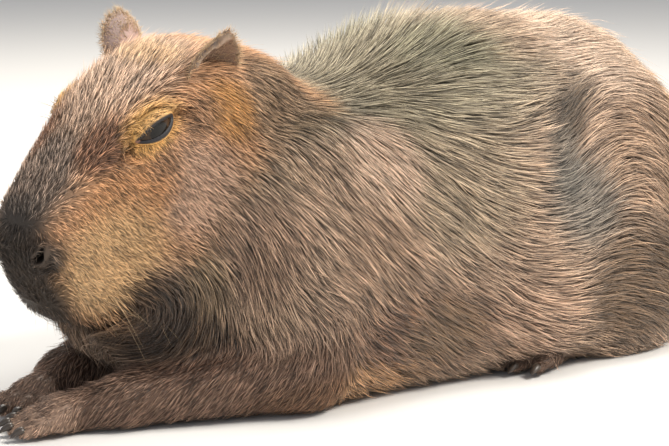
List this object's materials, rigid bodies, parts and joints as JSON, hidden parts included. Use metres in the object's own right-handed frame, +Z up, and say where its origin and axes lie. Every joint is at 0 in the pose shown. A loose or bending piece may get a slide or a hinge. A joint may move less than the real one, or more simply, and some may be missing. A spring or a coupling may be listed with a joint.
{
  "type": "resting capybara, still life-size model",
  "caption": "Life-size capybara lying on its chest and belly with its head up and forelegs stretched forward, a still museum model.",
  "frame": {"origin": "middle of the box that the animal fills, on the floor under the belly", "axes": "-X the way the animal looks, +Y its right side, +Z up"},
  "size_m": [0.8436, 0.409, 0.3811],
  "materials": {
    "coat": "long coarse brown hair with tan tips",
    "face_fur": "short golden brown and grey fur",
    "leg_fur": "short dark brown fur",
    "ear_skin": "thin grey brown skin with fine hair",
    "eye": "wet dark gloss",
    "claw": "dark horn"
  },
  "bodies": {
    "root": {"torso": "coat", "neck": "coat", "head": "face_fur", "ear_left": "ear_skin", "eye_left": "eye", "hindleg_left": "coat", "hindfoot_left": "leg_fur", "foreleg_left": "leg_fur", "forefoot_left": "leg_fur", "foreclaw_left_1": "claw", "foreclaw_left_2": "claw", "foreclaw_left_3": "claw", "foreclaw_left_4": "claw", "hindclaw_left_1": "claw", "hindclaw_left_2": "claw", "hindclaw_left_3": "claw", "ear_right": "ear_skin", "eye_right": "eye", "hindleg_right": "coat", "hindfoot_right": "leg_fur", "foreleg_right": "leg_fur", "forefoot_right": "leg_fur", "foreclaw_right_1": "claw", "foreclaw_right_2": "claw", "foreclaw_right_3": "claw", "foreclaw_right_4": "claw", "hindclaw_right_1": "claw", "hindclaw_right_2": "claw", "hindclaw_right_3": "claw"}
  },
  "joints": []
}
